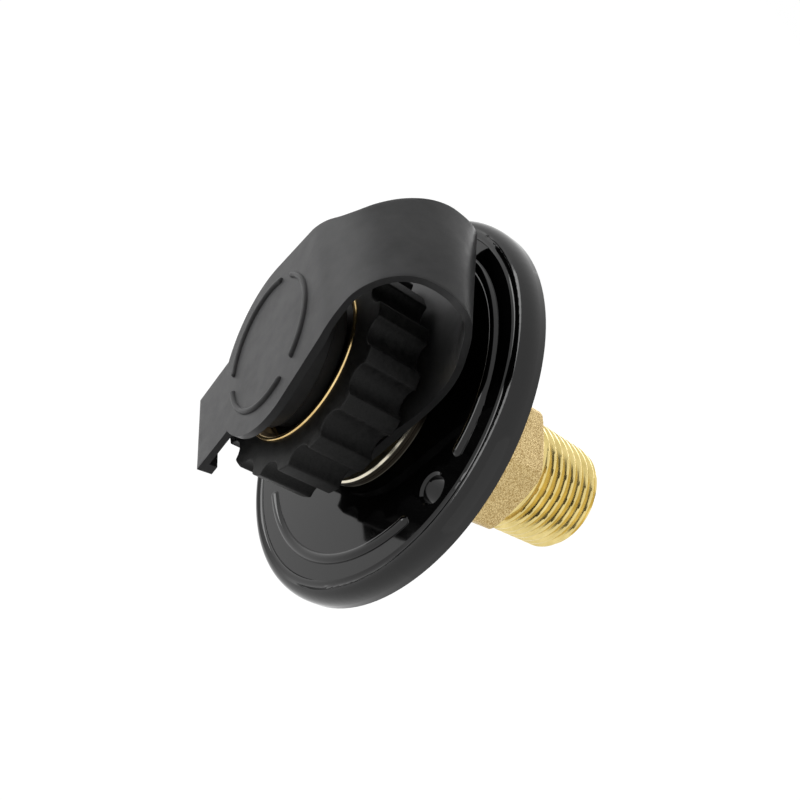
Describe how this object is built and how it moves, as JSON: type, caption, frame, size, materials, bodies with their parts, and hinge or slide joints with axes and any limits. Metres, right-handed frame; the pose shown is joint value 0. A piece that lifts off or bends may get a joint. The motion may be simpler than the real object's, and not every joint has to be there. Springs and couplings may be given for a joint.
{
  "type": "city water inlet",
  "caption": "Round black flange inlet for a caravan wall, with a scalloped hose nut, a rubber plug on a looped strap and a brass body with a tapered pipe thread behind.",
  "frame": {"origin": "centre of the flange's back face, where it lies on the caravan's wall, on the inlet's axis", "axes": "-Y out of the wall along the inlet's axis, +Y into the wall, +Z towards the strap's loop, +X to the right as seen from the hose"},
  "size_m": [0.0698, 0.0708, 0.0698],
  "materials": {
    "glossy_plastic": "mirror gloss black moulding",
    "grained_plastic": "fine grained matt black moulding",
    "strap_rubber": "satin grey-black rubber",
    "brass": "turned threads bright, forged hexagon sandblasted",
    "seal_rubber": "smooth black seal rubber",
    "valve_plastic": "off-white moulded valve plastic",
    "steel": "plain stainless steel"
  },
  "bodies": {
    "root": {"flange_plate": "glossy_plastic", "flange_seal": "seal_rubber", "inlet_body": "brass", "swivel_tail": "brass", "clamp_collar": "brass", "hose_washer": "seal_rubber", "strainer_screen": "steel", "valve_seat": "valve_plastic", "cartridge_seal": "seal_rubber", "valve_cage": "valve_plastic", "valve_spring": "steel"},
    "nut": {"nut_grip": "grained_plastic", "nut_insert": "brass"},
    "strap": {"strap_ring": "strap_rubber"},
    "plug": {"plug_cap": "strap_rubber"},
    "poppet": {"valve_poppet": "valve_plastic", "poppet_seal": "seal_rubber"}
  },
  "joints": [
    {"name": "nut_swivel", "type": "hinge", "parent": "root", "child": "nut", "pos_m": [0, -0.014, 0], "axis": [0, -1, 0], "continuous": true},
    {"name": "strap_swivel", "type": "hinge", "parent": "root", "child": "strap", "pos_m": [0, -0.0075, 0], "axis": [0, -1, 0], "continuous": true},
    {"name": "plug_swing", "type": "hinge", "parent": "strap", "child": "plug", "pos_m": [0, -0.0152, 0.0314], "axis": [-1, 0, 0], "range_deg": [0, 120]},
    {"name": "check_valve_slide", "type": "slide", "parent": "root", "child": "poppet", "axis": [0, 1, 0], "range_m": [0, 0.004], "stiffness_N_per_m": 60, "springref_m": -0.004, "deforming": ["valve_spring"]}
  ]
}
